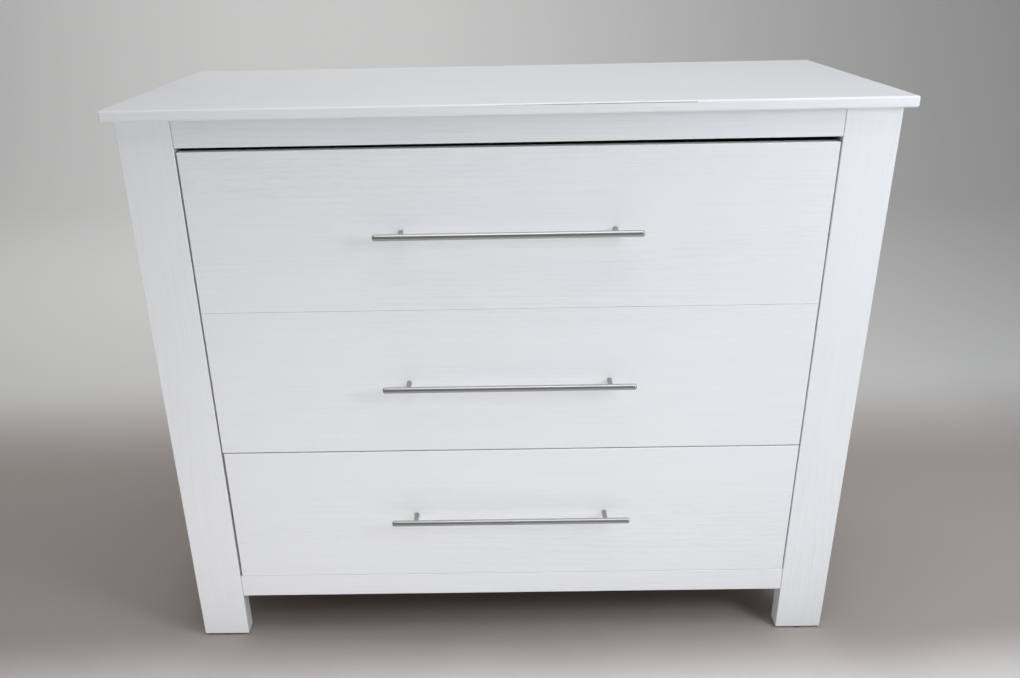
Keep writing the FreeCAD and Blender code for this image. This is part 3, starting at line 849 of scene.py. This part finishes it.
class CHEST_OT_studio(bpy.types.Operator):
    """Set the floor, the backdrop, the lights and the camera"""

    bl_idname = "chest.studio"
    bl_label = "Studio"

    def execute(self, context):
        scene = context.scene
        settings = scene.chest_studio
        sweep = self.sweep(settings)
        self.world(scene)
        self.lamp("window", (1.75, -1.15, 1.62), (0.3, -0.25, 0.75), 1.1, 8, (0.70, 0.82, 1.0))
        self.lamp("overhead", (0.22, -0.40, 2.6), (0.1, 0, 0.6), 1.7, 25, (1.0, 0.985, 0.97))
        self.lamp("right_lamp", (1.25, -1.05, 1.15), (0.5, -0.25, 0.75), 0.5, 6.6, (0.96, 0.98, 1.0))
        self.lamp("backdrop_wash", (-1.1, 1.6, 3.0), (-1.0, 4.2, 1.0), 2.0, 54, (1.0, 1.0, 1.0))
        rear = self.lamp("rear_lamp", (1.3, 2.5, 0.75), (0, 0.25, 0.45), 1.1, 26, (1.0, 0.99, 0.98))
        side = self.lamp("left_lamp", (-2.4, 0.5, 0.65), (-0.56, 0.05, 0.45), 0.9, 14, (1.0, 0.99, 0.98))
        left = self.lamp("left_bounce", (-0.7, -1.5, 0.2), (-0.35, -0.25, 0.15), 0.6, 5.4, (1.0, 0.98, 1.0))
        low = self.lamp("low_bounce", (0.1, -1.5, 0.12), (0.05, -0.25, 0.2), 0.7, 6.2, (1.0, 1.0, 0.97))
        self.soften(sweep, rear, side, left, low)
        self.camera(scene, settings)
        scene.view_settings.view_transform = "Standard"
        return {"FINISHED"}

    def sweep(self, settings):
        """A floor that curves up into a backdrop, far enough off for a view from any side."""
        half, far, near, tall, bend = 9.0, 4.2, -9.0, 5.0, 1.2
        mesh = bmesh.new()
        first = mesh.verts.new((-half, near, 0))
        last = mesh.verts.new((-half, far - bend, 0))
        floor_edge = mesh.edges.new((first, last))
        bmesh.ops.extrude_edge_only(mesh, edges=[floor_edge])
        for vert in mesh.verts[2:]:
            vert.co.x = half
        rear = [edge for edge in mesh.edges if all(v.co.y > far - bend - 1e-4 for v in edge.verts)]
        rear_verts = list({vert for edge in rear for vert in edge.verts})
        spun = bmesh.ops.spin(
            mesh, geom=rear + rear_verts, cent=(0, far - bend, bend), axis=(1, 0, 0),
            angle=math.pi / 2, steps=16,
        )
        rim = [part for part in spun["geom_last"] if isinstance(part, bmesh.types.BMEdge)]
        raised = bmesh.ops.extrude_edge_only(mesh, edges=rim)
        top = [part for part in raised["geom"] if isinstance(part, bmesh.types.BMVert)]
        bmesh.ops.translate(mesh, verts=top, vec=(0, 0, tall - bend))
        for face in mesh.faces:
            face.smooth = True
        data = bpy.data.meshes.new("studio_sweep")
        mesh.to_mesh(data)
        mesh.free()
        sweep = bpy.data.objects.new("studio_sweep", data)
        stage = plain_stage("plain_sweep", settings.floor, settings.lit_near_floor, settings.backdrop)
        data.materials.append(stage)
        bpy.context.scene.collection.objects.link(sweep)
        return sweep

    def world(self, scene):
        world = bpy.data.worlds.new("studio")
        world.use_nodes = True
        sky = world.node_tree.nodes["Background"]
        sky.inputs["Color"].default_value = (1.0, 1.0, 1.0, 1)
        sky.inputs["Strength"].default_value = WORLD_STRENGTH
        scene.world = world

    def lamp(self, name, place, target, size, power, colour):
        data = bpy.data.lights.new(name, "AREA")
        data.shape = "SQUARE"
        data.size = size
        data.energy = power
        data.color = colour
        lamp = bpy.data.objects.new(name, data)
        lamp.visible_camera = False
        lamp.location = place
        towards = Vector(target) - Vector(place)
        lamp.rotation_euler = towards.to_track_quat("-Z", "Y").to_euler()
        bpy.context.scene.collection.objects.link(lamp)
        return lamp

    def soften(self, sweep, *lamps):
        """Keep these lamps out of reflections and off the floor, with no shadow of the handles."""
        unlit = bpy.data.collections.new("no_bounce_on_sweep")
        unlit.objects.link(sweep)
        unshaded = bpy.data.collections.new("no_shadow_in_bounce")
        for number in DRAWERS:
            for part in ("bar", "stems"):
                unshaded.objects.link(bpy.data.objects[f"drawer_{number}_handle_{part}_brushed"])
        for collection in (unlit, unshaded):
            for entry in collection.collection_objects:
                entry.light_linking.link_state = "EXCLUDE"
        for lamp in lamps:
            lamp.visible_glossy = False
            lamp.light_linking.receiver_collection = unlit
            lamp.light_linking.blocker_collection = unshaded

    def camera(self, scene, settings):
        pitch, yaw, roll = settings.aim
        data = bpy.data.cameras.new("camera")
        data.lens = settings.lens
        data.shift_x, data.shift_y = settings.shift
        camera = bpy.data.objects.new("camera", data)
        level = Euler((math.pi / 2 + pitch, 0, -yaw), "XYZ").to_matrix()
        tilt = Matrix.Rotation(roll, 3, "Z")
        camera.matrix_world = Matrix.Translation(settings.eye) @ (level @ tilt).to_4x4()
        scene.collection.objects.link(camera)
        scene.camera = camera


class CHEST_PT_panel(bpy.types.Panel):
    """Lists the chest's operators"""

    bl_idname = "CHEST_PT_panel"
    bl_label = "Changing Chest"
    bl_space_type = "VIEW_3D"
    bl_region_type = "UI"
    bl_category = "Changing Chest"

    def draw(self, context):
        for operator in OPERATORS:
            self.layout.operator(operator.bl_idname)


SETTINGS = {
    "chest_paint": PaintSettings,
    "chest_boards": BoardSettings,
    "chest_hairline": HairlineSettings,
    "chest_handles": HandleSettings,
    "chest_studio": StudioSettings,
}
OPERATORS = (
    CHEST_OT_carcass,
    CHEST_OT_top_board,
    CHEST_OT_drawer_fronts,
    CHEST_OT_drawer_boxes,
    CHEST_OT_handles,
    CHEST_OT_runners,
    CHEST_OT_fittings,
    CHEST_OT_studio,
)


def register():
    for group in (*SETTINGS.values(), *OPERATORS, CHEST_PT_panel):
        bpy.utils.register_class(group)
    for name, group in SETTINGS.items():
        setattr(bpy.types.Scene, name, bpy.props.PointerProperty(type=group))


def unregister():
    for name in SETTINGS:
        delattr(bpy.types.Scene, name)
    for group in reversed((*SETTINGS.values(), *OPERATORS, CHEST_PT_panel)):
        bpy.utils.unregister_class(group)


def main():
    register()
    for operator in OPERATORS:
        family, name = operator.bl_idname.split(".")
        getattr(getattr(bpy.ops, family), name)()


if __name__ == "__main__":
    main()
